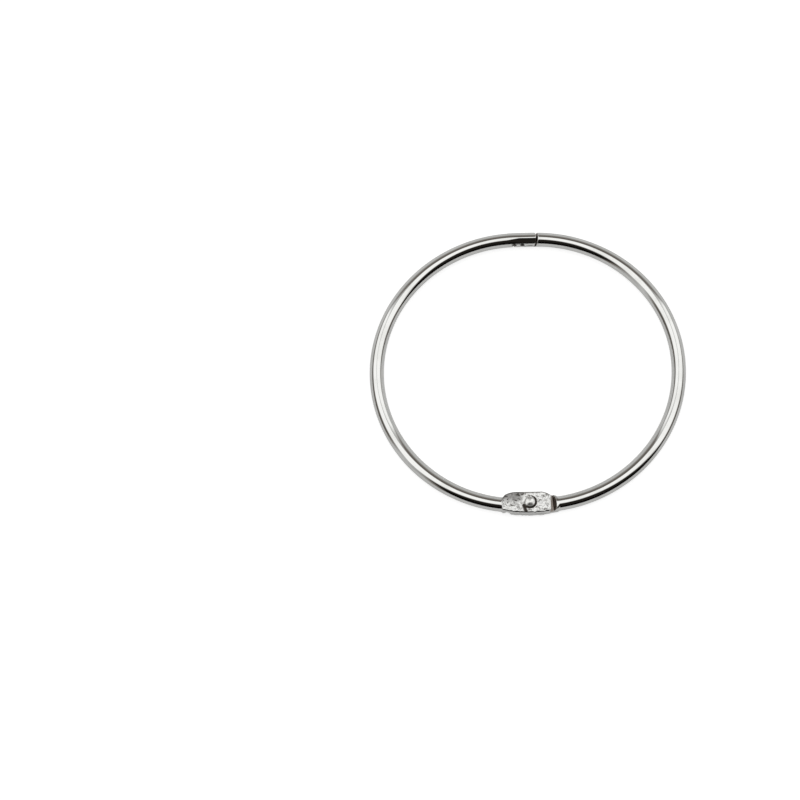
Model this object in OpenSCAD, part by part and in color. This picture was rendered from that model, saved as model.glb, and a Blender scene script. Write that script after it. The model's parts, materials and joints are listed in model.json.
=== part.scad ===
// Hinged wire ring for loose leaves. It lies flat on the XY plane, with the
// hinge at -Y and the catch at +Y. The two arms are the same pressed wire half:
// one is the other turned half a turn about the Y axis at the wire's mid height.

/* [Wire and bend] */
// Diameter of the round wire
wire_d = 3.8; // [3:0.1:5]
// Inside diameter of each arm's half-round bend
bend_d = 71.5; // [50:0.5:90]
// Straight run from the end of each bend to the middle of the ring
end_run = 2.25; // [0.5:0.25:3]

/* [Hinge laps] */
// Depth that the wire's top is pressed down to make a lap's flat face
press_depth = 0.37; // [0.25:0.01:0.6]
// Spread of a lap past the wire's inner side
lap_in = 1.45; // [1:0.05:2.5]
// Spread of a lap past the wire's outer side
lap_out = 0.5; // [0.1:0.05:0.7]
// Distance from the pivot to a lap's free end
lap_tip = 5.5; // [4.8:0.1:8]
// Length of a lap's inner side that is rounded off towards its free end
tip_in_run = 2.3; // [0.8:0.1:2.6]
// Width that this rounding takes off the free end
tip_in_drop = 1.1; // [0.8:0.1:2.2]
// Corner radius at the outer side of a lap's free end
tip_out_r = 0.8; // [0.5:0.1:1.2]
// Radius along a lap's long edges
lap_edge_r = 0.45; // [0.1:0.05:0.6]
// Distance of the pivot from the wire's mean line, towards the middle of the ring
pivot_in = 0.45; // [0:0.05:0.8]

/* [Hinge shoulders] */
// Gap between a lap's free end and the other arm's shoulder
shoulder_gap = 0.45; // [0.4:0.05:1.5]
// Run of a shoulder's slope
shoulder_run = 0.95; // [0.3:0.05:1.5]
// Distance from the shoulder to the foot of the slope above it, where the flat face starts
press_lead = 0.85; // [0.2:0.05:1.5]
// Run of the slope from the flat face up to the wire's top
press_run = 0.6; // [0.3:0.1:1.5]
// Length of wire behind the shoulder over which the lap starts to widen
flare_lead = 1.75; // [1.2:0.05:3]
// Length over which the lap widens
flare_len = 3.8; // [2.5:0.1:4.5]

/* [Rivet] */
// Diameter of the rivet's shank
shank_d = 2; // [1.4:0.1:2.4]
// Diameter of the head
head_d = 2.9; // [2.8:0.1:4]
// Height of the head
head_h = 0.8; // [0.5:0.05:1.2]
// Height of the head's straight rim, below its dome
head_rim = 0.3; // [0.1:0.05:0.4]
// Diameter of the flat-domed tail under the lower lap
tail_d = 2.9; // [2.6:0.1:3.6]

/* [Catch] */
// Length of the catch, from shoulder to shoulder
catch_len = 7.1; // [6:0.1:9]
// Gap between the tip of a tongue and the other arm's shoulder
tip_gap = 0.45; // [0.3:0.05:1]
// Run of the slant across a tongue's tip and the shoulder it faces, for each unit of height
tip_slant = 0.25; // [0:0.05:0.4]
// Height of the hooked step between the two tongues
hook_h = 1.7; // [0.8:0.05:1.9]
// Run of the hooked step's sloped flank
hook_run = 1.15; // [0.6:0.05:1.5]

/* [Clearances] */
// Gap between the two hinge laps
lap_gap = 0.06; // [0.04:0.01:0.12]
// Radial gap round the rivet's shank
shank_gap = 0.05; // [0.03:0.01:0.08]
// Gap between the lower lap and the rivet's tail
tail_gap = 0.05; // [0.03:0.01:0.08]
// Height of the rivet's tail above the surface that the ring lies on
tail_lift = 0.04; // [0.02:0.01:0.06]
// Gap between the two hooked tongues
catch_gap = 0.09; // [0.05:0.01:0.15]

/* [Hidden] */
$fn = 96;
wire_r = wire_d / 2;
mean_r = bend_d / 2 + wire_r;
// More than the wire's size, for cuts that pass right through it
through = 4 * wire_d;

// Heights are measured from the wire's mid height
lap_z = lap_gap / 2;
lap_top = wire_r - press_depth;
lap_t = lap_top - lap_z;
tail_h = press_depth - tail_gap - tail_lift;

hinge_y = -mean_r;
pivot_y = hinge_y + pivot_in;
lap_in_y = hinge_y + wire_r + lap_in;
lap_out_r = mean_r + wire_r + lap_out;
shoulder_x = lap_tip + shoulder_gap;
flare_x = shoulder_x + flare_lead;
flare_end_x = flare_x - flare_len;
// Half width at which the lap starts, hidden inside the round wire
root_w = 0.9 * sqrt(wire_r * wire_r - lap_top * lap_top);
// How far the lap's plan reaches past the arc that trims its outer side
arc_over = 0.1;
flare_steps = 12;
corner_steps = 8;

catch_x = catch_len / 2;
catch_tip_x = catch_x - tip_gap;
flank_len = sqrt(hook_run * hook_run + hook_h * hook_h);
flank_shift = catch_gap / 2 * (flank_len - hook_run) / hook_h;

// Height along Y of the wire's mean line at the hinge end, at a distance x from the middle
function mean_y(x) =
    abs(x) <= end_run ? hinge_y : -sqrt(pow(mean_r, 2) - pow(abs(x) - end_run, 2));

// Rise from 0 to 1 along a quarter of a circle, which starts steep and levels off
function ease(t) = sqrt(1 - pow(1 - t, 2));

// Height along Y just outside the arc of a lap's outer side, which keeps the ring's curve
function past_arc_y(x) = -sqrt(pow(lap_out_r, 2) - pow(x, 2)) - arc_over;

// Places along X of the catch's slanted shoulder and of the tongue's slanted tip, at height z
function shoulder_at(z) = -catch_x + tip_slant * (wire_r + z);
function tip_at(z) = catch_tip_x - tip_slant * (wire_r - z);

// Points of a lap's flared inner side, from inside the wire to its straight edge
function flare_in() = [
    for (i = [0 : flare_steps])
        let (t = i / flare_steps, x = -flare_x + t * flare_len, s = ease(t))
            [x, (1 - s) * (mean_y(x) + root_w) + s * lap_in_y]
];

// Points of a lap's flared outer side, from inside the wire to just past its arc
function flare_out() = [
    for (i = [0 : flare_steps])
        let (t = i / flare_steps, x = -flare_x + t * flare_len, s = ease(t))
            [x, (1 - s) * (mean_y(x) - root_w) + s * past_arc_y(x)]
];

// Points of a corner's elliptical arc with the radii r, turning clockwise from angle a to angle b
function corner(centre, r, a, b) = [
    for (i = [0 : corner_steps])
        let (c = a + (b - a) * i / corner_steps)
            centre + [r.x * cos(c), r.y * sin(c)]
];

// Points of a list in reverse order
function backwards(list) = [for (i = [len(list) - 1 : -1 : 0]) list[i]];

// Plan of the hinge lap, flared out of the wire and rounded at its free end. Its outer
// side lies just past the arc that lap_edge_out() trims it to.
module lap_plan() {
    tip_in = [lap_tip - tip_in_run, lap_in_y - tip_in_drop];
    tip_out_x = lap_tip - tip_out_r;
    tip_out = [tip_out_x, -sqrt(pow(lap_out_r - tip_out_r, 2) - pow(tip_out_x, 2))];
    polygon(concat(
        flare_in(),
        corner(tip_in, [tip_in_run, tip_in_drop], 90, 0),
        corner(tip_out, [tip_out_r, tip_out_r], 0, atan2(tip_out.y, tip_out.x)),
        [[0, -lap_out_r - wire_r]],
        backwards(flare_out())
    ));
}

// Extrudes an outline drawn in X and Z along Y, centred on y
module along_y(y) {
    translate([0, y, 0])
        rotate([90, 0, 0])
            linear_extrude(through, center = true) children();
}

// Section of one long side of a lap, up to x = edge, with its top edge rounded
module lap_side(edge) {
    width = 2 * wire_d;
    translate([edge - width, lap_z]) square([width, lap_t - lap_edge_r]);
    translate([edge - width, lap_z]) square([width - lap_edge_r, lap_t]);
    translate([edge - lap_edge_r, lap_top - lap_edge_r]) circle(r = lap_edge_r);
}

// Bar along X that gives a lap its straight inner side
module lap_edge_in() {
    length = flare_x + lap_tip + wire_d;
    translate([(lap_tip - flare_x) / 2, 0, 0])
        rotate([90, 0, 90])
            linear_extrude(length, center = true) lap_side(lap_in_y);
}

// Piece of a disc about the ring's middle that gives a lap its curved outer side
module lap_edge_out() {
    sweep = 60;
    rotate([0, 0, -90 - sweep / 2])
        rotate_extrude(angle = sweep) lap_side(lap_out_r);
}

// Flat hinge lap that carries the rivet hole
module lap() {
    difference() {
        intersection() {
            translate([0, 0, lap_z]) linear_extrude(lap_t) lap_plan();
            lap_edge_in();
            lap_edge_out();
        }
        translate([0, pivot_y, -through / 2])
            cylinder(d = shank_d + 2 * shank_gap, h = through);
    }
}

// Half-round bend with the straight run through the catch
module wire() {
    translate([-end_run, 0, 0])
        rotate([0, 0, 90])
            rotate_extrude(angle = 180) translate([mean_r, 0]) circle(d = wire_d);
    translate([-end_run, mean_r, 0])
        rotate([0, 90, 0])
            cylinder(d = wire_d, h = end_run + catch_tip_x);
}

// What the press takes off the wire at the hinge: the slope down to the flat face,
// the sloped shoulder below the lap, and all that lies past the flare
module hinge_cut() {
    press_x = shoulder_x + press_lead;
    along_y(hinge_y) {
        polygon([
            [-press_x, lap_top],
            [-press_x - press_run, wire_r],
            [-press_x - press_run, wire_d],
            [0, wire_d],
            [0, lap_top]
        ]);
        polygon([
            [-shoulder_x, lap_z],
            [-shoulder_x - shoulder_run, -wire_r],
            [-shoulder_x - shoulder_run, -wire_d],
            [0, -wire_d],
            [0, lap_z]
        ]);
        translate([-flare_end_x, -wire_d]) square([flare_end_x, 2 * wire_d]);
    }
}

// Space below the tongue, with the hooked step and the slanted shoulder, and the space past its
// slanted tip
module catch_cut() {
    gap = catch_gap / 2;
    along_y(mean_r) {
        polygon([
            [shoulder_at(-wire_d), -wire_d],
            [shoulder_at(hook_h / 2 + gap), hook_h / 2 + gap],
            [flank_shift - hook_run / 2, hook_h / 2 + gap],
            [flank_shift + hook_run / 2, gap - hook_h / 2],
            [catch_x, gap - hook_h / 2],
            [catch_x, -wire_d]
        ]);
        polygon([
            [tip_at(wire_d), wire_d],
            [tip_at(-wire_d), -wire_d],
            [catch_x + wire_d, -wire_d],
            [catch_x + wire_d, wire_d]
        ]);
    }
}

// One wire half, with its mid height at z = 0
module arm() {
    difference() {
        wire();
        hinge_cut();
        catch_cut();
    }
    lap();
}

// Shallow dome of diameter d and height h, standing on z = 0
module dome(d, h) {
    ball_r = (d * d / 4 + h * h) / (2 * h);
    intersection() {
        translate([0, 0, h - ball_r]) sphere(r = ball_r);
        cylinder(d = 2 * d, h = 2 * h);
    }
}

module left_arm() {
    color("silver") translate([0, 0, wire_r]) arm();
}

module right_arm() {
    color("silver") translate([0, 0, wire_r]) rotate([0, 180, 0]) arm();
}

module hinge_rivet() {
    shank_z = -lap_top - tail_gap;
    color("gainsboro")
        translate([0, pivot_y, wire_r]) {
            translate([0, 0, lap_top]) cylinder(d = head_d, h = head_rim);
            translate([0, 0, lap_top + head_rim]) dome(head_d, head_h - head_rim);
            translate([0, 0, shank_z]) cylinder(d = shank_d, h = lap_top - shank_z);
            translate([0, 0, shank_z]) mirror([0, 0, 1]) dome(tail_d, tail_h);
        }
}

left_arm();
right_arm();
hinge_rivet();
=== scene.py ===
"""Looks of the binder ring: two plated wire arms and a burnished rivet on a pale floor.

Lengths are in millimetres until a mesh is made. Heights are measured from the wire's mid height,
which is also the height of the hinge's pivot point. Each arm is lofted along its mean line, from
the tip of its tongue at the catch to the free end of its lap at the hinge. Both are drawn as the
left arm, and the right one is then turned over.
"""
import json
import math

import bpy
import numpy as np
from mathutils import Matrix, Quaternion, Vector


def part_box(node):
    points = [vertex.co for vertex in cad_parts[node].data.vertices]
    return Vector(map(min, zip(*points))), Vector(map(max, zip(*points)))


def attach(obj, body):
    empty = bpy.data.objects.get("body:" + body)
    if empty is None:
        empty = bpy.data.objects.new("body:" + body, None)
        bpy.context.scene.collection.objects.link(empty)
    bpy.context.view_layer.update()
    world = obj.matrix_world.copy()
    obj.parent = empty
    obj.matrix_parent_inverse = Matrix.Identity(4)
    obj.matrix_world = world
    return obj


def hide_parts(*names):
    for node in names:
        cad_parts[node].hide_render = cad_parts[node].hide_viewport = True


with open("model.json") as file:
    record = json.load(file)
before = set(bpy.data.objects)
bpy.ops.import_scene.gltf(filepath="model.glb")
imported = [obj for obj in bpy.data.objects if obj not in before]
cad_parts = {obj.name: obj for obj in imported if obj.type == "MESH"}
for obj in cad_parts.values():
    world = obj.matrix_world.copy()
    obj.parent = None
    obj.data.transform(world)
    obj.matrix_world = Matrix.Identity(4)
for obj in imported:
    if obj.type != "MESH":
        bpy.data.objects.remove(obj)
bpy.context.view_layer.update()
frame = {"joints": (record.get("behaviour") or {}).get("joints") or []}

# A millimetre in metres, and less than any length here
MM = 0.001
TINY = 1e-9

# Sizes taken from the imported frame
arm_low, arm_high = [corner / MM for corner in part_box("left_arm")]
rivet_low, rivet_high = [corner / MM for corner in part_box("hinge_rivet")]
pivot = Vector(frame["joints"][0]["pos_m"]) / MM
MID_Z = pivot.z
PIVOT_Y = pivot.y
WIRE_R = arm_high.z - MID_Z
MEAN_R = arm_high.y - WIRE_R
END_RUN = -arm_low.x - WIRE_R - MEAN_R
LAP_TIP = arm_high.x
LAP_OUT_R = -arm_low.y
HEAD_R = (rivet_high.x - rivet_low.x) / 2
HEAD_TOP = rivet_high.z - MID_Z
TAIL_LOW = rivet_low.z - MID_Z

# Roundness of a curve between two edges: 2 makes a quarter of an ellipse, and less is straighter
ROUND = 2.0
STRAIGHTER = 1.4

# Hinge lap, pressed out of the wire. A corner has its run along the lap, its drop across it and its
# roundness
LAP_SPREAD_IN = 1.45
PRESS_DEPTH = 0.37
LAP_IN_Y = MEAN_R - WIRE_R - LAP_SPREAD_IN
LAP_Z = 0.03
LAP_TOP = WIRE_R - PRESS_DEPTH
LAP_EDGE_R = 0.45
LAP_FOOT_R = 0.1
LAP_ROOT = 1.0
TIP_IN = (2.4, 1.2, STRAIGHTER)
TIP_OUT = (0.8, 0.8, ROUND)
TIP_DROP = 0.3
TIP_RUN = 0.75
FLARE_X = -7.7
FLARE_END_X = -3.9
FLARE_BLEND = 0.06
PRESS_X = (-7.4, -6.8)
PRESS_SETTLE = 0.2
SHOULDER_X = (-6.9, -5.95)
SHOULDER_BLEND = 0.035
SHOULDER_SETTLE = 4
HOLE_R = 1.05

# Sections at the hinge: where they start, where the fine ones end, and their steps along X
HINGE_START_X = -9.5
FINE_END_X = -4.6
WIRE_STEP = 0.25
FINE_STEP = 0.05
LAP_STEP = 0.1
TIP_ROWS = 28

# Marks on a lap's face, in places from the pivot. Waves have a height and a range of lengths, the tool's
# ring has a depth, a radius and a width, and a dent has a depth, a start, an end and a width
FACE_WAVES = (0.018, (1.2, 3.2))
FACE_GRAIN = (0.007, (0.4, 0.9))
TOOL_RING = (0.035, 1.95, 0.16)
FACE_DENTS = (
    (0.07, (-1.63, -0.95), (-1.13, -2.6), 0.3),
    (0.05, (-0.55, 2.05), (-0.5, 2.1), 0.14),
)
FACE_BAND = (0.2, 0.02)
SCRATCHES = 9
SCRATCH_DEPTH = 0.04
SCRATCH_X = (-6.4, -4.6)
SCRATCH_Y = (-0.6, 1.6)
SCRATCH_REACH = 0.5
SCRATCH_WIDTH = (0.06, 0.12)

# Burr along the upper outer edge of a lap
BURR_HEIGHT = 0.05
BURR_WAVES = (0.6, 2.4)
BURR_TURN = math.radians(142)
BURR_SPREAD = 0.2

# Catch tongue, with the run of wire behind its shoulder in which the sections return to the plain round
CATCH_X = -3.55
CATCH_RUN = 2.4
TONGUE_TIP_X = 3.1
TONGUE_FLAT_X = 2.7
HOOK_X = (-0.55, 0.6)
HOOK_Z = (0.895, -0.805)
SHOULDER_EDGE_R = 0.26
TONGUE_EDGE_R = 0.2
CATCH_SLANT = 0.25
TIP_SLANT_RUN = 1.4
COINED_X = (-5.9, -1.4)
COINED_TURN = math.radians(62)
COINED_DEPTH = 0.12

# Sections at the catch: their step along X, and their number round an edge, down the hook and on the run
TONGUE_STEP = 0.2
EDGE_ROWS = 9
HOOK_ROWS = 12
RUN_ROWS = 14
RUN_GAP = 0.05

# Unevenness of the bent wire, which fades out towards the catch and the hinge
WOBBLE_DEPTH = 0.012
WOBBLE_WAVES = (7, 18)
WOBBLE_GIRTH = 6
WOBBLE_CATCH = (5, 9)
WOBBLE_HINGE = (8, 5)
WOBBLE_SEED = 10

# Rivet
SHANK_R = 1.0
TAIL_R = 1.45
TAIL_H = 0.28
HEAD_RIM = 0.3
HEAD_ROUND = 0.4
TAIL_ROUND = 0.08
CROWN_TURN = 0.02
HEAD_TILT = (-0.04, 0.14)
HEAD_SINK = 0.03
HEAD_FADE = 0.1
HEAD_WAVES = (0.012, (1.0, 2.6))
HEAD_SEED = 40

# Bare cut metal: depth below the plated surface, and margins at the catch, the hinge's shoulder and below
CUT_DEPTH = (-0.16, -0.04)
CATCH_MARGIN = 0.01
SHOULDER_MARGIN = 0.05
UNDER_MARGIN = 0.02

# Wear of a lap's face, in places from the pivot, and the clean halo round the rivet's head
PRESSED_BAND = (0.42, 0.1)
SCUFF_LEAST = 0.34
SCUFF_X = (-3.4, -0.4)
SCUFF_Y = (-1.2, 1.0)
SCUFF_LEAN = 0.12
HALO_GAP = 0.35
HALO_WIDTH = 0.25

# Painted shade at the rivet: in the corner round its head, where the head shades the lap, most on the side of
# a heading, and a painted shadow streak beside it
RIVET_SHADE_HEADING = math.radians(-40)
RIVET_SHADE_GAP = 0.08
RIVET_SHADE_WIDTH = 0.32
RIVET_SHADE_SIDES = (-0.75, 0.1)
RIVET_SHADE_BAND = (0.3, 0.1)
SHADOW_STREAK = ((-1.6, -0.9), (-1.1, -2.4), 0.72)
SHADOW_STREAK_LEVEL = 0.7

# Painted shade at the catch: two dark marks on the tongues' seam and a thin dark line from them to the gap
MARKS_X = (-2.75, -0.65)
MARK_Z = 0.62
MARK_SIZE = (0.62, 0.46)
LINE_X = (-0.5, 0.5)
LINE_END_X = (2.3, 2.7)
LINE_Z = 0.42
LINE_WIDTH = 0.2
LINE_LEVEL = 0.5

# Mesh density: points round the wire, and the angles that become a lap's side and flat face
AROUND = 180
SIDE_TURN = 26
FACE_TURN = 50
BEND_STEP = 0.8
HOLE_SEGMENTS = 96
RIVET_SEGMENTS = 128
DOME_STEPS = 20
SHARP_ANGLE = math.radians(38)

# Colours
NICKEL = (0.79, 0.79, 0.775, 1)
NICKEL_DULL = (0.72, 0.72, 0.70, 1)
NICKEL_WORN = (0.22, 0.215, 0.21, 1)
NICKEL_BRIGHT = (0.82, 0.82, 0.80, 1)
CUT_STEEL = (0.34, 0.30, 0.27, 1)
# Dark brown painted as shade round the rivet and at the catch
PAINTED_SHADE_TONE = (0.05, 0.042, 0.036, 1)

# Floor, in metres, with its lift to white and the share of contact light over which its shadow fades
FLOOR_RADIUS_M = 5
FLOOR_SEGMENTS = 64
FLOOR_GREY = (0.46, 0.46, 0.46, 1)
FLOOR_LIFT = 0.82
FLOOR_MIRRORED = 0.37
FLOOR_SHADE = (0.03, 0.28)
WHITE = (1, 1, 1, 1)

# Studio light: levels, and the parts of a direction between which each of its areas begins and is full
ROOM_LEVEL = 0.13
OVERHEAD_LEVEL = 1.14
OVERHEAD_Z = (0.40, 0.62)
OVERHEAD_LEAN = 0.08
WALL_LEVEL = 0.62
WALL_Z = (0.85, 0.1)
WALL_AHEAD = (0.30, 0.44)
WALL_LEAN = 0.8
WALL_ASIDE = 1.5
HORIZON_Z = 0.02
BEHIND_SHADE = 0.985
BEHIND_Y = (0.22, 0.44)
BEHIND_LEAN = 0.1
FILL_LEVEL = 0.45
FILL_X = (-0.60, -0.85)
FILL_Y = (-0.10, -0.35)
DIM_TINT = (1.0, 0.88, 0.76, 1)
LIT_TINT = (1.0, 1.0, 0.995, 1)
TINT_LEVEL = 0.5

# Camera that gives the photograph's framing
IMAGE_PX = 800
PX_PER_MM = 3.775
RING_CENTRE_PX = (527.3, 370.1)
CAMERA_ELEVATION = math.radians(68.85)
CAMERA_ROLL = math.radians(-1.2)
CAMERA_DISTANCE = 700
SENSOR_MM = 36

# Lengths along an arm's mean line, from the tongue's tip
BEND_START = TONGUE_TIP_X + END_RUN
BEND_END = BEND_START + math.pi * MEAN_R


def linear(low, high, value):
    """Straight rise from 0 at low to 1 at high."""
    return np.clip((value - low) / (high - low), 0, 1)


def smooth(low, high, value):
    """Rise from 0 at low to 1 at high, level at both ends."""
    t = linear(low, high, value)
    return t * t * (3 - 2 * t)


def bell(value, width):
    """Fall from 1 at 0 to nearly 0 at two widths away."""
    return np.exp(-((value / width) ** 2))


def soft_max(first, second, blend):
    """Larger of two values, with the corner between them rounded off over a length blend."""
    return np.logaddexp(first / blend, second / blend) * blend


def rounded_rise(t, roundness):
    """Rise from 0 to 1 that starts steep and levels off, as a curve of a given roundness."""
    return (1 - (1 - t) ** roundness) ** (1 / roundness)


def ripple(u, v, seed, wavelengths, count=14):
    """Smooth random relief of about unit height over a plane, as a sum of seeded plane waves."""
    rng = np.random.default_rng(seed)
    total = np.zeros(np.broadcast(u, v).shape)
    for _ in range(count):
        heading = rng.uniform(0, 2 * math.pi)
        length = rng.uniform(*wavelengths)
        phase = rng.uniform(0, 2 * math.pi)
        across = u * math.cos(heading) + v * math.sin(heading)
        total += np.sin(2 * math.pi * across / length + phase)
    return total * math.sqrt(2 / count)


def groove(x, y, start, end, width):
    """Depth share, 0 to 1, of a soft scratch from start to end."""
    start, end = np.array(start), np.array(end)
    run = end - start
    t = np.clip(((x - start[0]) * run[0] + (y - start[1]) * run[1]) / (run @ run), 0, 1)
    return bell(np.hypot(x - start[0] - t * run[0], y - start[1] - t * run[1]), width)


def along_from_x(x, hinge_end):
    """Length along the mean line, at the arm's hinge end or catch end, from a distance x off the middle."""
    turn = np.arcsin(np.clip((-END_RUN - x) / MEAN_R, 0, 1))
    before_bend = np.clip(x + END_RUN, 0, None) - MEAN_R * turn
    return BEND_END + before_bend if hinge_end else BEND_START - before_bend


def place(along, inward, height):
    """Points in the left arm's frame from lengths along the mean line, towards the middle and up."""
    turn = math.pi / 2 + np.clip(along - BEND_START, 0, BEND_END - BEND_START) / MEAN_R
    radius = MEAN_R - inward
    before = np.clip(BEND_START - along, 0, None)
    after = np.clip(along - BEND_END, 0, None)
    x = -END_RUN + radius * np.cos(turn) + before + after
    y = radius * np.sin(turn)
    return np.stack(np.broadcast_arrays(x, y, height), axis=-1)


def unroll(points):
    """Lengths along, towards the middle and up for points in the left arm's frame."""
    x, y, z = points.T
    turn = np.arctan2(y, x + END_RUN) % (2 * math.pi)
    bend = BEND_START + MEAN_R * (turn - math.pi / 2)
    straight = np.where(y > 0, TONGUE_TIP_X - x, BEND_END + x + END_RUN)
    on_bend = x < -END_RUN
    along = np.where(on_bend, bend, straight)
    inward = MEAN_R - np.where(on_bend, np.hypot(x + END_RUN, y), np.abs(y))
    return np.stack([along, inward, z], axis=1)


def turns():
    """Angles of the points round the wire. 0 is the inner side and a quarter turn is the top."""
    return np.arange(AROUND) * 2 * math.pi / AROUND


def lap_section(reach_in, reach_out):
    """Inward lengths and heights of the lap's section, point for point with the round wire."""
    turn = turns()
    fold = np.degrees(np.arcsin(np.sin(turn)))
    lean = np.abs(fold)
    side = np.where(np.cos(turn) >= 0, 1, -1)
    upper = fold > 0
    radius = np.where(upper, LAP_EDGE_R, LAP_FOOT_R)
    bend = math.pi / 2 * linear(SIDE_TURN, FACE_TURN, lean)
    rise = linear(-SIDE_TURN, SIDE_TURN, fold)
    wall = LAP_Z + LAP_FOOT_R + rise * (LAP_TOP - LAP_EDGE_R - LAP_Z - LAP_FOOT_R)
    height = wall + np.where(upper, 1, -1) * radius * np.sin(bend)
    across = linear(FACE_TURN, 90, lean) / 2
    share = np.where(side > 0, across, 1 - across)
    inward = (1 - share) * (reach_in - radius) - share * (reach_out - radius)
    return inward + side * radius * np.cos(bend), np.broadcast_to(height, inward.shape)


def flared(x, full, roundness):
    """Reach of the lap's side at x, from inside the wire out to its full reach."""
    ease = rounded_rise(linear(FLARE_X, FLARE_END_X, x), roundness)
    plan = (1 - ease) * LAP_ROOT + ease * full
    return soft_max(plan, WIRE_R, FLARE_BLEND)


def rounded_tip(x, reach, corner):
    """Reach of the lap's side at x, drawn in round a corner at the free end."""
    run, drop, roundness = corner
    past = linear(LAP_TIP - run, LAP_TIP, x)
    return reach - drop * (1 - rounded_rise(1 - past, roundness))


def hinge_stations():
    """Distances x from the middle at which the hinge end is cut into sections."""
    corner_x = LAP_TIP - TIP_IN[0]
    return np.concatenate([
        np.arange(HINGE_START_X, FLARE_X, WIRE_STEP),
        np.arange(FLARE_X, FINE_END_X, FINE_STEP),
        np.arange(FINE_END_X, corner_x, LAP_STEP),
        corner_x + TIP_IN[0] * np.sin(np.linspace(0, math.pi / 2, TIP_ROWS)),
    ])


def face_relief(x, y, seed):
    """Height of the marks that pressing, riveting and use left on a lap's flat face."""
    relief = np.zeros(x.shape)
    for extra, (height, wavelengths) in enumerate((FACE_WAVES, FACE_GRAIN)):
        relief += height * ripple(x, y, seed + extra, wavelengths)
    y = y - PIVOT_Y
    ring_depth, ring_r, ring_width = TOOL_RING
    relief -= ring_depth * bell(np.hypot(x, y) - ring_r, ring_width)
    for depth, start, end, width in FACE_DENTS:
        relief -= depth * groove(x, y, start, end, width)
    rng = np.random.default_rng(seed + 2)
    for _ in range(SCRATCHES):
        start = np.array([rng.uniform(*SCRATCH_X), rng.uniform(*SCRATCH_Y)])
        end = start + rng.uniform(-SCRATCH_REACH, SCRATCH_REACH, 2)
        relief -= SCRATCH_DEPTH * groove(x, y, start, end, rng.uniform(*SCRATCH_WIDTH))
    return relief


def hinge_sections(seed, roundness):
    """Sections of the hinge end: round wire that flares and flattens into the lap."""
    x = hinge_stations()[:, None]
    along = along_from_x(x, True)
    turn = turns()
    mean_y = MEAN_R - np.clip(-END_RUN - x, 0, None) ** 2 / (2 * MEAN_R)
    arc_y = np.sqrt(LAP_OUT_R**2 - x * x)
    reach_in = rounded_tip(x, flared(x, mean_y - LAP_IN_Y, roundness), TIP_IN)
    reach_out = rounded_tip(x, flared(x, arc_y - mean_y, roundness), TIP_OUT)
    lap_inward, lap_height = lap_section(reach_in, reach_out)
    round_inward, round_height = WIRE_R * np.cos(turn), WIRE_R * np.sin(turn)

    inward = round_inward + (lap_inward - round_inward) * smooth(FLARE_X, PRESS_X[1], x)

    pressed = smooth(PRESS_X[0], PRESS_X[1] + PRESS_SETTLE, x)
    upper = round_height + (lap_height - round_height) * pressed
    top = WIRE_R + (LAP_TOP - WIRE_R) * linear(*PRESS_X, x)
    top -= TIP_DROP * (1 - rounded_rise(1 - linear(LAP_TIP - TIP_RUN, LAP_TIP, x), ROUND))
    settled = smooth(*SHOULDER_X, x) ** SHOULDER_SETTLE
    floor = -WIRE_R + (LAP_Z + WIRE_R) * linear(*SHOULDER_X, x)
    lower = soft_max(round_height + (lap_height - round_height) * settled, floor, SHOULDER_BLEND)
    height = np.where(round_height > 0, np.minimum(upper, top), np.minimum(lower, lap_height))

    points = place(along, inward, height)
    face_low, face_high = (LAP_TOP - depth for depth in FACE_BAND)
    on_face = smooth(face_low, face_high, height) * pressed * (turn < math.pi)
    height = height + on_face * face_relief(points[..., 0], points[..., 1], seed)
    burr = BURR_HEIGHT * ripple(x, 0 * x, seed + 3, BURR_WAVES) * smooth(FLARE_X, FLARE_END_X, x)
    inward = inward - burr * bell(turn - BURR_TURN, BURR_SPREAD)
    return along, inward, height


def coined(x, angle):
    """Radius of the tongue's outside, where the press has coined a narrow flat along its upper inner side."""
    flat = WIRE_R - COINED_DEPTH * linear(*COINED_X, x) ** 2
    return np.minimum(WIRE_R, flat / np.maximum(np.cos(angle - COINED_TURN), TINY))


def catch_section(x, under, spaced, cut, drawn_in, end_in):
    """One section at the catch. The upper points keep to the wire's round and the lower ones make the
    underside, which moves from the round to the flat height under as cut goes from 0 to 1."""
    turn = np.degrees(turns())
    turn = (turn + SIDE_TURN) % 360 - SIDE_TURN
    low_start = 180 + SIDE_TURN
    edge = math.degrees(math.asin(under / WIRE_R))
    is_low = turn > low_start
    upper = edge + (turn + SIDE_TURN) * (180 - 2 * edge) / (low_start + SIDE_TURN)
    share = linear(low_start, 360 - SIDE_TURN, turn)
    lower = 180 - edge + share * (180 + 2 * edge)
    angle = np.radians(turn + spaced * (np.where(is_low, lower, upper) - turn))
    radius = coined(x, angle) - end_in - np.where(is_low, drawn_in * np.sin(math.pi * share) ** 0.5, 0)
    inward, height = radius * np.cos(angle), radius * np.sin(angle)
    half = math.sqrt((WIRE_R - end_in) ** 2 - under**2)
    flat_inward = -half * np.cos(math.pi * share)
    inward = np.where(is_low, inward + cut * (flat_inward - inward), inward)
    height = np.where(is_low, height + cut * (under + end_in - height), height)
    return inward, height


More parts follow.
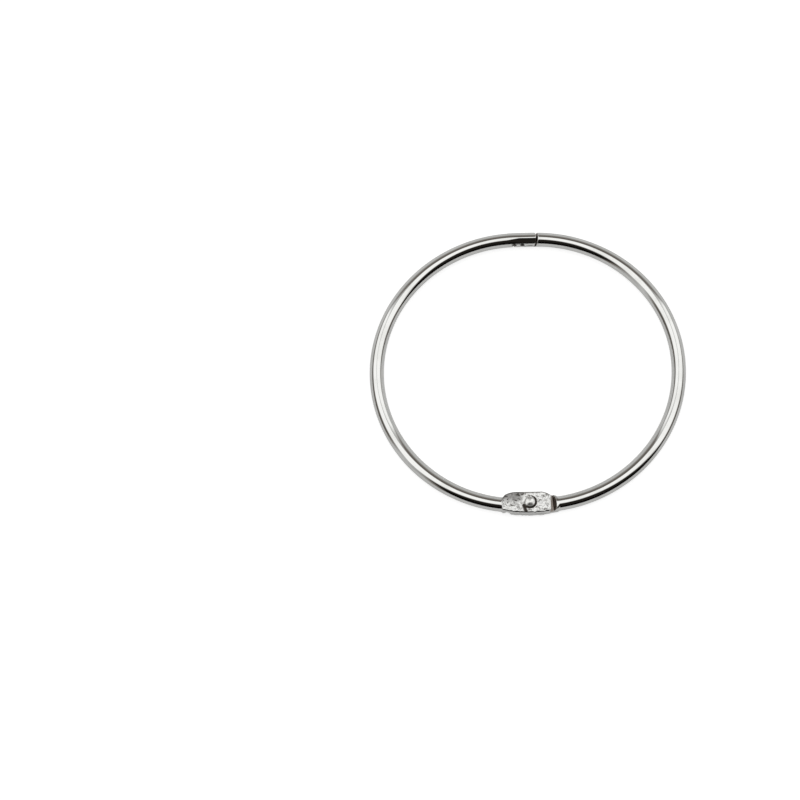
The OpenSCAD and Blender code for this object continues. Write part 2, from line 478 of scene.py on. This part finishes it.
def catch_sections():
    """Sections of the catch end: the rounded tip, the hooked tongue, its shoulder and the round wire."""
    rows = []
    is_low = np.sin(turns()) < -math.sin(math.radians(SIDE_TURN)) - TINY
    run_end = CATCH_X - CATCH_RUN
    run_start = CATCH_X - SHOULDER_EDGE_R - RUN_GAP
    edge_turns = np.linspace(math.pi / 2, 0, EDGE_ROWS)

    def add(x, under, spaced, cut, drawn_in=0.0, end_in=0.0):
        inward, height = catch_section(x, under, spaced, cut, drawn_in, end_in)
        at_tip = smooth(TONGUE_TIP_X - TIP_SLANT_RUN, TONGUE_TIP_X - TONGUE_EDGE_R, x)
        at_shoulder = is_low * smooth(run_end, CATCH_X - SHOULDER_EDGE_R, x) * (x <= CATCH_X)
        slant = CATCH_SLANT * (at_shoulder * (WIRE_R + height) - at_tip * (WIRE_R - height))
        rows.append((along_from_x(x + slant, False), inward, height))

    for turn in edge_turns:
        inset = TONGUE_EDGE_R * (1 - math.cos(turn))
        add(TONGUE_TIP_X - TONGUE_EDGE_R * (1 - math.sin(turn)), HOOK_Z[1], 1, 1, end_in=inset)
    for x in np.arange(TONGUE_FLAT_X, HOOK_X[1] + TONGUE_STEP / 2, -TONGUE_STEP):
        add(x, HOOK_Z[1], 1, 1)
    for share in np.linspace(1, 0, HOOK_ROWS):
        under = HOOK_Z[0] + (HOOK_Z[1] - HOOK_Z[0]) * share
        add(HOOK_X[0] + (HOOK_X[1] - HOOK_X[0]) * share, under, 1, 1)
    flat_end = CATCH_X + CATCH_SLANT * (WIRE_R + HOOK_Z[0])
    for x in np.append(np.arange(HOOK_X[0] - TONGUE_STEP, flat_end + TONGUE_STEP / 2, -TONGUE_STEP), CATCH_X):
        add(x, HOOK_Z[0], 1, 1)
    for turn in edge_turns:
        drawn_in = SHOULDER_EDGE_R * (1 - math.cos(turn))
        add(CATCH_X - SHOULDER_EDGE_R * (1 - math.sin(turn)), HOOK_Z[0], 1, 0, drawn_in)
    for x in np.linspace(run_start, run_end, RUN_ROWS):
        add(x, HOOK_Z[0], (x - run_end) / (run_start - run_end), 0)
    return [np.array(part) for part in zip(*rows)]


def bend_sections(start, end):
    """Round sections along the bend, between two lengths along the mean line."""
    along = np.linspace(start, end, int((end - start) / BEND_STEP))[1:-1, None]
    turn = turns()[None, :]
    return np.broadcast_arrays(along, WIRE_R * np.cos(turn), WIRE_R * np.sin(turn))


def wire_wobble(along, inward, height, seed):
    """Draws the surface in by the slight unevenness of bent wire."""
    turn = np.arctan2(height, inward)
    wave = ripple(along, WOBBLE_GIRTH * np.cos(turn), seed, WOBBLE_WAVES)
    wave = (wave + ripple(along, WOBBLE_GIRTH * np.sin(turn), seed + 1, WOBBLE_WAVES)) / 2
    hinge_low, hinge_high = (BEND_END - length for length in WOBBLE_HINGE)
    fade = smooth(*WOBBLE_CATCH, along) * (1 - smooth(hinge_low, hinge_high, along))
    scale = 1 - fade * WOBBLE_DEPTH * (1 + wave / 2) / WIRE_R
    return inward * scale, height * scale


def loft_faces(rows):
    """Quads between neighbouring sections, and flat caps over the first and the last one."""
    ring = np.arange(AROUND)
    ahead = np.roll(ring, -1)
    base = np.arange(rows - 1)[:, None] * AROUND
    quads = np.stack([base + ring, base + AROUND + ring, base + AROUND + ahead, base + ahead], axis=-1)
    faces = quads.reshape(-1, 4).tolist()
    for first, flip in ((0, False), ((rows - 1) * AROUND, True)):
        for j in range(AROUND // 2):
            face = [first + k for k in dict.fromkeys((j, j + 1, AROUND - j - 1, (AROUND - j) % AROUND))]
            faces.append(face[::-1] if flip else face)
    return faces


def mesh_object(name, points, faces):
    """New mesh object from points in millimetres, heights from the wire's mid height."""
    mesh = bpy.data.meshes.new(name)
    mesh.from_pydata(((points + [0, 0, MID_Z]) * MM).tolist(), [], faces)
    mesh.validate()
    piece = bpy.data.objects.new(name, mesh)
    bpy.context.scene.collection.objects.link(piece)
    return piece


def drill(piece):
    """Cuts the hole for the rivet's shank."""
    through = 6 * WIRE_R
    bpy.ops.mesh.primitive_cylinder_add(
        vertices=HOLE_SEGMENTS, radius=HOLE_R * MM, depth=through * MM,
        location=(0, PIVOT_Y * MM, MID_Z * MM))
    cutter = bpy.context.object
    cut = piece.modifiers.new("rivet_hole", "BOOLEAN")
    cut.operation = "DIFFERENCE"
    cut.solver = "EXACT"
    cut.object = cutter
    graph = bpy.context.evaluated_depsgraph_get()
    drilled = bpy.data.meshes.new_from_object(piece.evaluated_get(graph))
    piece.modifiers.clear()
    piece.data = drilled
    bpy.data.objects.remove(cutter)


def finish_mesh(piece):
    """Smooth shading with sharp corners kept."""
    piece.data.shade_smooth()
    piece.data.set_sharp_from_angle(angle=SHARP_ANGLE)


def store(mesh, name, kind, values):
    """Keeps a value for each point of a mesh, for the materials to read."""
    attribute = mesh.attributes.new(name, kind, "POINT")
    field = "vector" if kind == "FLOAT_VECTOR" else "value"
    attribute.data.foreach_set(field, np.ascontiguousarray(values, np.float32).ravel())


def mesh_points(mesh):
    """Points of a mesh in millimetres, heights from the wire's mid height."""
    flat = np.empty(len(mesh.vertices) * 3, np.float32)
    mesh.vertices.foreach_get("co", flat)
    return flat.reshape(-1, 3).astype(float) / MM - [0, 0, MID_Z]


def pressed_face(points):
    """Share, 0 to 1, of the flat face that the press left on a lap."""
    x, y, z = points.T
    low, high = (LAP_TOP - depth for depth in PRESSED_BAND)
    return smooth(FLARE_X, PRESS_X[1], x) * (y < 0) * smooth(low, high, z)


def cut_faces(points, wire):
    """Share, 0 to 1, of bare cut metal: the catch's inner faces, the hinge's shoulder and the lap's
    underside."""
    x, y, z = points.T
    _, inward, height = wire.T
    outside = np.where(y > 0, coined(x, np.arctan2(height, inward)), WIRE_R)
    inside = 1 - smooth(*CUT_DEPTH, np.hypot(inward, height) - outside)
    at_catch = (y > 0) * (x > CATCH_X - CATCH_MARGIN)
    under_lap = (y < 0) * (x > SHOULDER_X[0] - SHOULDER_MARGIN) * (z < LAP_Z + UNDER_MARGIN)
    return np.maximum(at_catch * inside, under_lap * np.maximum(inside, x > SHOULDER_X[1]))


def scuffed(points):
    """Share, 0 to 1, of wear on a lap's face: most at its root on the inner side, least at its free end."""
    x, y = points[:, 0], points[:, 1] - PIVOT_Y
    root = 1 - smooth(*SCUFF_X, x)
    inner = smooth(*SCUFF_Y, y + SCUFF_LEAN * x)
    halo = bell(np.hypot(x, y) - HEAD_R - HALO_GAP, HALO_WIDTH)
    return (SCUFF_LEAST + (1 - SCUFF_LEAST) * root * inner) * (1 - halo)


def rivet_painted_shade(points):
    """Share, 0 to 1, of painted shade on the laps round the rivet: the corner at its head, darkest on one
    side, and a painted shadow streak beside it.
    """
    x, y, z = points.T
    y = y - PIVOT_Y
    from_pivot = np.hypot(x, y)
    towards = (x * math.cos(RIVET_SHADE_HEADING) + y * math.sin(RIVET_SHADE_HEADING)) / np.maximum(from_pivot, SHANK_R)
    # Painted shade in the corner round the head, darkest on the heading's side
    corner = bell(from_pivot - HEAD_R - RIVET_SHADE_GAP, RIVET_SHADE_WIDTH) * smooth(*RIVET_SHADE_SIDES, towards)
    low, high = (LAP_TOP - depth for depth in RIVET_SHADE_BAND)
    # Painted shadow streak beside the head
    return np.maximum(corner, SHADOW_STREAK_LEVEL * groove(x, y, *SHADOW_STREAK)) * smooth(low, high, z)


def catch_painted_shade(points):
    """Share, 0 to 1, of painted shade on the inner side of the wire where the tongues meet."""
    x, y, z = points.T
    # Painted shade in two marks on the seam and in a thin line from them to the gap
    marks = [bell(x - mark_x, MARK_SIZE[0]) * bell(z - MARK_Z, MARK_SIZE[1]) for mark_x in MARKS_X]
    line = LINE_LEVEL * bell(z - LINE_Z, LINE_WIDTH) * smooth(*LINE_X, x) * (1 - smooth(*LINE_END_X, x))
    inner_side = (y > 0) * (y < MEAN_R)
    return inner_side * np.maximum.reduce([*marks, line])


def arm_points(seed, roundness):
    """Points of an arm's sections, one row for each section."""
    catch = catch_sections()
    hinge = hinge_sections(seed, roundness)
    bend = bend_sections(float(catch[0][-1].max()), float(hinge[0][0].min()))
    parts = [np.broadcast_arrays(*part) for part in (catch, bend, hinge)]
    along, inward, height = (np.concatenate([part[k] for part in parts]) for k in range(3))
    return place(along, *wire_wobble(along, inward, height, seed + WOBBLE_SEED))


def make_arm(name, node, body, material, seed, roundness, turned):
    """One wire half, with the signs by which its points are turned from the left arm's frame."""
    points = arm_points(seed, roundness)
    piece = mesh_object(name, points.reshape(-1, 3) * turned, loft_faces(len(points)))
    drill(piece)
    finish_mesh(piece)

    in_place = mesh_points(piece.data)
    own = in_place * turned
    wire = unroll(own)
    store(piece.data, "wire", "FLOAT_VECTOR", wire)
    store(piece.data, "pressed", "FLOAT", pressed_face(own))
    store(piece.data, "cut", "FLOAT", cut_faces(own, wire))
    # Painted shade round the rivet and at the catch, kept for the material
    store(piece.data, "painted_shade_share", "FLOAT", np.maximum(rivet_painted_shade(in_place), catch_painted_shade(in_place)))
    store(piece.data, "scuff", "FLOAT", scuffed(own))
    piece.data.materials.append(material)
    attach(piece, body)
    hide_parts(node)


def dome_profile(radius, height, rim, rounding):
    """Radius and height of points from the foot of a straight rim, round its edge, to a dome's top."""
    rise = height - rim
    ball = (radius * radius + rise * rise) / (2 * rise)
    edge_r = radius - rounding
    lean = math.asin(edge_r / (ball - rounding))
    edge_z = height - ball + (ball - rounding) * math.cos(lean)
    round_turn = np.linspace(math.pi / 2, lean, DOME_STEPS)
    dome_turn = np.linspace(lean, CROWN_TURN, DOME_STEPS)[1:]
    r = np.concatenate([[radius], edge_r + rounding * np.sin(round_turn), ball * np.sin(dome_turn)])
    dome_z = height - ball + ball * np.cos(dome_turn)
    z = np.concatenate([[0], edge_z + rounding * np.cos(round_turn), dome_z])
    return list(zip(r, np.maximum(z, 0)))


def rivet_profile():
    """Radius and height of points from the middle of the tail, up the shank, to the middle of the head."""
    head_h = HEAD_TOP - LAP_TOP
    tail_top = TAIL_LOW + TAIL_H
    head = [(r, LAP_TOP + z) for r, z in dome_profile(HEAD_R, head_h, HEAD_RIM, HEAD_ROUND)]
    tail = [(r, tail_top - z) for r, z in dome_profile(TAIL_R, TAIL_H, 0, TAIL_ROUND)]
    return np.array(tail[::-1] + [(SHANK_R, tail_top), (SHANK_R, LAP_TOP)] + head)


def make_rivet(material):
    """Domed rivet, turned about the pivot: head, shank and tail, with the marks of the closing tool."""
    profile = rivet_profile()
    turn = np.arange(RIVET_SEGMENTS) * 2 * math.pi / RIVET_SEGMENTS
    r, z = profile[:, 0, None], profile[:, 1, None]
    x, y = r * np.cos(turn), r * np.sin(turn)
    tilt = HEAD_TILT[0] * x + HEAD_TILT[1] * y
    dents = HEAD_WAVES[0] * ripple(x, y, HEAD_SEED, HEAD_WAVES[1])
    z = z + smooth(LAP_TOP + HEAD_FADE, HEAD_TOP - HEAD_FADE, z) * (tilt + dents - HEAD_SINK)
    points = np.stack(np.broadcast_arrays(x, y + PIVOT_Y, z), axis=-1).reshape(-1, 3)

    rows = np.arange(len(points)).reshape(len(profile), RIVET_SEGMENTS)
    ahead = np.roll(rows, -1, axis=1)
    quads = np.stack([rows[:-1], ahead[:-1], ahead[1:], rows[1:]], axis=-1)
    faces = quads.reshape(-1, 4).tolist() + [rows[0, ::-1].tolist(), rows[-1].tolist()]
    piece = mesh_object("rivet", points, faces)
    finish_mesh(piece)
    piece.data.materials.append(material)
    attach(piece, "left_half")
    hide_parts("hinge_rivet")


class Tree:
    """Short calls for adding nodes to a node tree."""

    def __init__(self, owner):
        owner.use_nodes = True
        self.tree = owner.node_tree
        self.tree.nodes.clear()

    def put(self, socket, value):
        """Links a socket to another one, or sets its value."""
        if isinstance(value, bpy.types.NodeSocket):
            self.tree.links.new(value, socket)
        else:
            socket.default_value = value

    def node(self, kind, inputs=None, **settings):
        """New node with its settings and its inputs, which go by name or place."""
        node = self.tree.nodes.new(kind)
        for key, value in settings.items():
            setattr(node, key, value)
        for key, value in (inputs or {}).items():
            self.put(node.inputs[key], value)
        return node

    def attribute(self, name, output="Fac"):
        """Value that a mesh keeps for its points."""
        return self.node("ShaderNodeAttribute", attribute_name=name).outputs[output]

    def split(self, vector):
        """The three parts of a vector."""
        return self.node("ShaderNodeSeparateXYZ", {0: vector}).outputs

    def math(self, operation, *values):
        """Result of a math node."""
        return self.node("ShaderNodeMath", dict(enumerate(values)), operation=operation).outputs[0]

    def times(self, first, second):
        """Product of two values."""
        return self.math("MULTIPLY", first, second)

    def plus(self, value, factor, addend):
        """A value times a factor, plus another value."""
        return self.math("MULTIPLY_ADD", value, factor, addend)

    def ramp(self, value, low, high, start=0.0, end=1.0):
        """Value mapped smoothly from low..high to start..end."""
        inputs = {0: value, 1: low, 2: high, 3: start, 4: end}
        return self.node("ShaderNodeMapRange", inputs, interpolation_type="SMOOTHSTEP").outputs[0]

    def noise(self, vector, scale=1.0, detail=2.0, roughness=0.5, distortion=0.0):
        """Noise value over a vector."""
        inputs = {"Vector": vector, "Scale": scale, "Detail": detail, "Roughness": roughness,
                  "Distortion": distortion}
        return self.node("ShaderNodeTexNoise", inputs).outputs["Fac"]

    def stretch(self, vector, size, turn=0.0):
        """Vector for a texture with features of a size along axes turned about the third one."""
        inputs = {"Vector": vector, "Scale": size, "Rotation": (0, 0, turn)}
        return self.node("ShaderNodeMapping", inputs, vector_type="TEXTURE").outputs[0]

    def mix(self, share, first, second):
        """Value between two values."""
        return self.node("ShaderNodeMix", {0: share, 2: first, 3: second}).outputs[0]

    def blend(self, share, first, second):
        """Colour between two colours."""
        inputs = {0: share, 6: first, 7: second}
        return self.node("ShaderNodeMix", data_type="RGBA", inputs=inputs).outputs[2]

    def bump(self, height, depth_mm, normal=None):
        """Normal tilted by a height."""
        inputs = {"Height": height, "Distance": depth_mm * MM}
        if normal is not None:
            inputs["Normal"] = normal
        return self.node("ShaderNodeBump", inputs).outputs[0]

    def metal(self, colour, gloss, normal):
        """Surface of plain metal."""
        shader = self.node("ShaderNodeBsdfPrincipled", {
            "Base Color": colour, "Metallic": 1.0, "Roughness": gloss, "Normal": normal})
        self.node("ShaderNodeOutputMaterial", {"Surface": shader.outputs[0]})


def arm_material():
    """Bright nickel plate on drawn wire, duller and scuffed where the press flattened it, with painted shade
    round the rivet and at the catch.
    """
    material = bpy.data.materials.new("plated_wire")
    tree = Tree(material)
    wire = tree.attribute("wire", "Vector")
    pressed = tree.attribute("pressed")
    cut = tree.attribute("cut")
    painted_shade_share = tree.attribute("painted_shade_share")
    scuff = tree.attribute("scuff")

    clouds = tree.noise(wire, scale=0.22, detail=3.0)
    drawn = tree.noise(tree.stretch(wire, (8.0, 0.2, 0.2)), detail=3.0)
    specks = tree.ramp(tree.noise(wire, scale=3.2), 0.70, 0.78, end=0.35)
    mottle = tree.noise(
        tree.stretch(wire, (1.0, 0.7, 1.0)), scale=1.1, detail=4.0, roughness=0.6, distortion=0.4)
    scratches = tree.noise(tree.stretch(wire, (0.22, 2.4, 1.0), turn=math.radians(-25)))

    plate = tree.blend(tree.ramp(clouds, 0.4, 0.75), NICKEL, NICKEL_DULL)
    plate = tree.blend(specks, plate, NICKEL_WORN)
    worn = tree.ramp(tree.plus(scuff, 0.62, tree.times(mottle, 0.8)), 0.5, 1.05, end=0.95)
    scored = tree.ramp(scratches, 0.5, 0.68, end=0.6)
    marked = tree.times(pressed, tree.math("MAXIMUM", worn, scored))
    # Painted shade round the rivet and at the catch, with a little random dark tone from the mottle
    painted_shade = tree.ramp(tree.plus(tree.math("SUBTRACT", mottle, 0.5), 0.7, painted_shade_share), 0.25, 0.6)
    colour = tree.blend(marked, plate, NICKEL_WORN)
    colour = tree.blend(cut, colour, CUT_STEEL)
    colour = tree.blend(painted_shade, colour, PAINTED_SHADE_TONE)

    plain_gloss = tree.ramp(clouds, 0.3, 0.7, start=0.035, end=0.085)
    pressed_gloss = tree.ramp(mottle, 0.3, 0.7, start=0.05, end=0.14)
    gloss = tree.plus(pressed, pressed_gloss, plain_gloss)
    gloss = tree.plus(tree.math("MAXIMUM", cut, painted_shade), 0.35, gloss)

    normal = tree.bump(drawn, 0.003)
    normal = tree.bump(tree.times(pressed, mottle), 0.025, normal)
    normal = tree.bump(tree.times(pressed, scratches), 0.02, normal)
    tree.metal(colour, gloss, normal)
    return material


def rivet_material():
    """Nickel plate rubbed to a satin by the closing tool, with fine rings, dull spots and painted shade on
    one side of its rim.
    """
    material = bpy.data.materials.new("burnished_rivet")
    tree = Tree(material)
    from_pivot = tree.node("ShaderNodeMapping", {
        "Vector": tree.node("ShaderNodeTexCoord").outputs["Object"],
        "Location": (0, -PIVOT_Y, 0), "Scale": (1 / MM,) * 3}).outputs[0]
    rings = tree.node("ShaderNodeTexWave", {
        "Vector": from_pivot, "Scale": 1.1, "Distortion": 1.5, "Detail": 2.0, "Detail Scale": 2.0},
        wave_type="RINGS", rings_direction="Z").outputs["Fac"]
    spots = tree.noise(from_pivot, scale=1.3, detail=4.0, roughness=0.6)

    x, y, _ = tree.split(from_pivot)
    towards = tree.plus(x, math.cos(RIVET_SHADE_HEADING), tree.times(y, math.sin(RIVET_SHADE_HEADING)))
    radius = tree.math("SQRT", tree.plus(x, x, tree.times(y, y)))
    # Painted shade on the rim, on the side towards the heading
    on_rim = tree.ramp(tree.plus(spots, 0.3, radius), 1.2, 1.55)
    painted_shade = tree.times(on_rim, tree.ramp(towards, -0.5, 0.9, end=0.95))
    colour = tree.blend(tree.ramp(spots, 0.5, 0.75), NICKEL_BRIGHT, NICKEL_DULL)
    colour = tree.blend(painted_shade, colour, PAINTED_SHADE_TONE)

    gloss = tree.ramp(spots, 0.35, 0.7, start=0.24, end=0.38)
    normal = tree.bump(rings, 0.003)
    normal = tree.bump(spots, 0.008, normal)
    tree.metal(colour, gloss, normal)
    return material


def floor_material():
    """Matt pale floor. Camera rays see it lifted to white and mirrored rays see part of that lift, apart
    from the deep shadow where the wire touches it."""
    material = bpy.data.materials.new("pale_floor")
    tree = Tree(material)
    path = tree.node("ShaderNodeLightPath").outputs
    mirrored = tree.math("MAXIMUM", path["Is Glossy Ray"], path["Is Transmission Ray"])
    seen = tree.math("MAXIMUM", path["Is Camera Ray"], tree.times(mirrored, FLOOR_MIRRORED))
    open_share = tree.node("ShaderNodeAmbientOcclusion", {"Distance": 2 * WIRE_R * MM}).outputs["AO"]
    lift = tree.times(seen, tree.ramp(open_share, *FLOOR_SHADE, end=FLOOR_LIFT))
    matt = tree.node("ShaderNodeBsdfDiffuse", {"Color": FLOOR_GREY}).outputs[0]
    white = tree.node("ShaderNodeEmission", {"Color": WHITE, "Strength": lift}).outputs[0]
    mixed = tree.node("ShaderNodeAddShader", {0: matt, 1: white}).outputs[0]
    tree.node("ShaderNodeOutputMaterial", {"Surface": mixed})
    return material


def make_floor():
    """Large round floor under the ring."""
    bpy.ops.mesh.primitive_circle_add(vertices=FLOOR_SEGMENTS, radius=FLOOR_RADIUS_M, fill_type="NGON")
    floor = bpy.context.object
    floor.name = "floor"
    floor.data.materials.append(floor_material())


def studio_world():
    """Soft studio seen by the metal: a broad light overhead, a dimmer room round it, a light wall on the
    far side, a dark side behind the camera and a weak fill low on the left."""
    world = bpy.data.worlds.new("studio")
    bpy.context.scene.world = world
    tree = Tree(world)
    x, y, z = tree.split(tree.node("ShaderNodeTexCoord").outputs["Generated"])

    overhead = tree.ramp(tree.plus(x, OVERHEAD_LEAN, z), *OVERHEAD_Z, ROOM_LEVEL, OVERHEAD_LEVEL)
    wall = tree.ramp(z, *WALL_Z, ROOM_LEVEL, WALL_LEVEL)
    above = tree.math("MAXIMUM", z, HORIZON_Z)
    aside = tree.math("MINIMUM", tree.math("ABSOLUTE", tree.math("DIVIDE", x, above)), WALL_ASIDE)
    ahead = tree.math("DIVIDE", y, above)
    level = tree.mix(tree.ramp(tree.plus(aside, -WALL_LEAN, ahead), *WALL_AHEAD), overhead, wall)
    behind = tree.ramp(tree.plus(x, BEHIND_LEAN, tree.times(y, -1.0)), *BEHIND_Y)
    level = tree.times(level, tree.plus(behind, -BEHIND_SHADE, 1.0))
    fill = tree.times(tree.ramp(x, *FILL_X), tree.ramp(y, *FILL_Y, end=FILL_LEVEL))
    level = tree.math("ADD", level, fill)

    tint = tree.blend(tree.ramp(level, 0.0, TINT_LEVEL), DIM_TINT, LIT_TINT)
    background = tree.node("ShaderNodeBackground", {"Color": tint, "Strength": level})
    tree.node("ShaderNodeOutputWorld", {"Surface": background.outputs[0]})


def make_camera():
    """Camera at the photograph's angle, turned so that the ring's middle falls on its pixel."""
    data = bpy.data.cameras.new("camera")
    focal_px = PX_PER_MM * CAMERA_DISTANCE
    data.sensor_width = SENSOR_MM
    data.lens = focal_px * SENSOR_MM / IMAGE_PX
    camera = bpy.data.objects.new("camera", data)
    back = Vector((0, -math.cos(CAMERA_ELEVATION), math.sin(CAMERA_ELEVATION)))
    camera.location = (Vector((0, 0, MID_Z)) + back * CAMERA_DISTANCE) * MM
    right_px, down_px = (value - IMAGE_PX / 2 for value in RING_CENTRE_PX)
    to_ring = Vector((right_px, -down_px, -focal_px)).normalized()
    aside = Vector((0, 0, -1)).rotation_difference(to_ring)
    look = (-back).to_track_quat("-Z", "Y")
    camera.rotation_mode = "QUATERNION"
    camera.rotation_quaternion = look @ Quaternion((0, 0, 1), CAMERA_ROLL) @ aside.inverted()
    bpy.context.scene.collection.objects.link(camera)
    bpy.context.scene.camera = camera


plated = arm_material()
make_arm("arm_left", "left_arm", "left_half", plated, seed=3, roundness=ROUND, turned=(1, 1, 1))
make_arm("arm_right", "right_arm", "right_half", plated, seed=8, roundness=STRAIGHTER, turned=(-1, 1, -1))
make_rivet(rivet_material())
make_floor()
studio_world()
make_camera()
bpy.context.scene.view_settings.view_transform = "Standard"
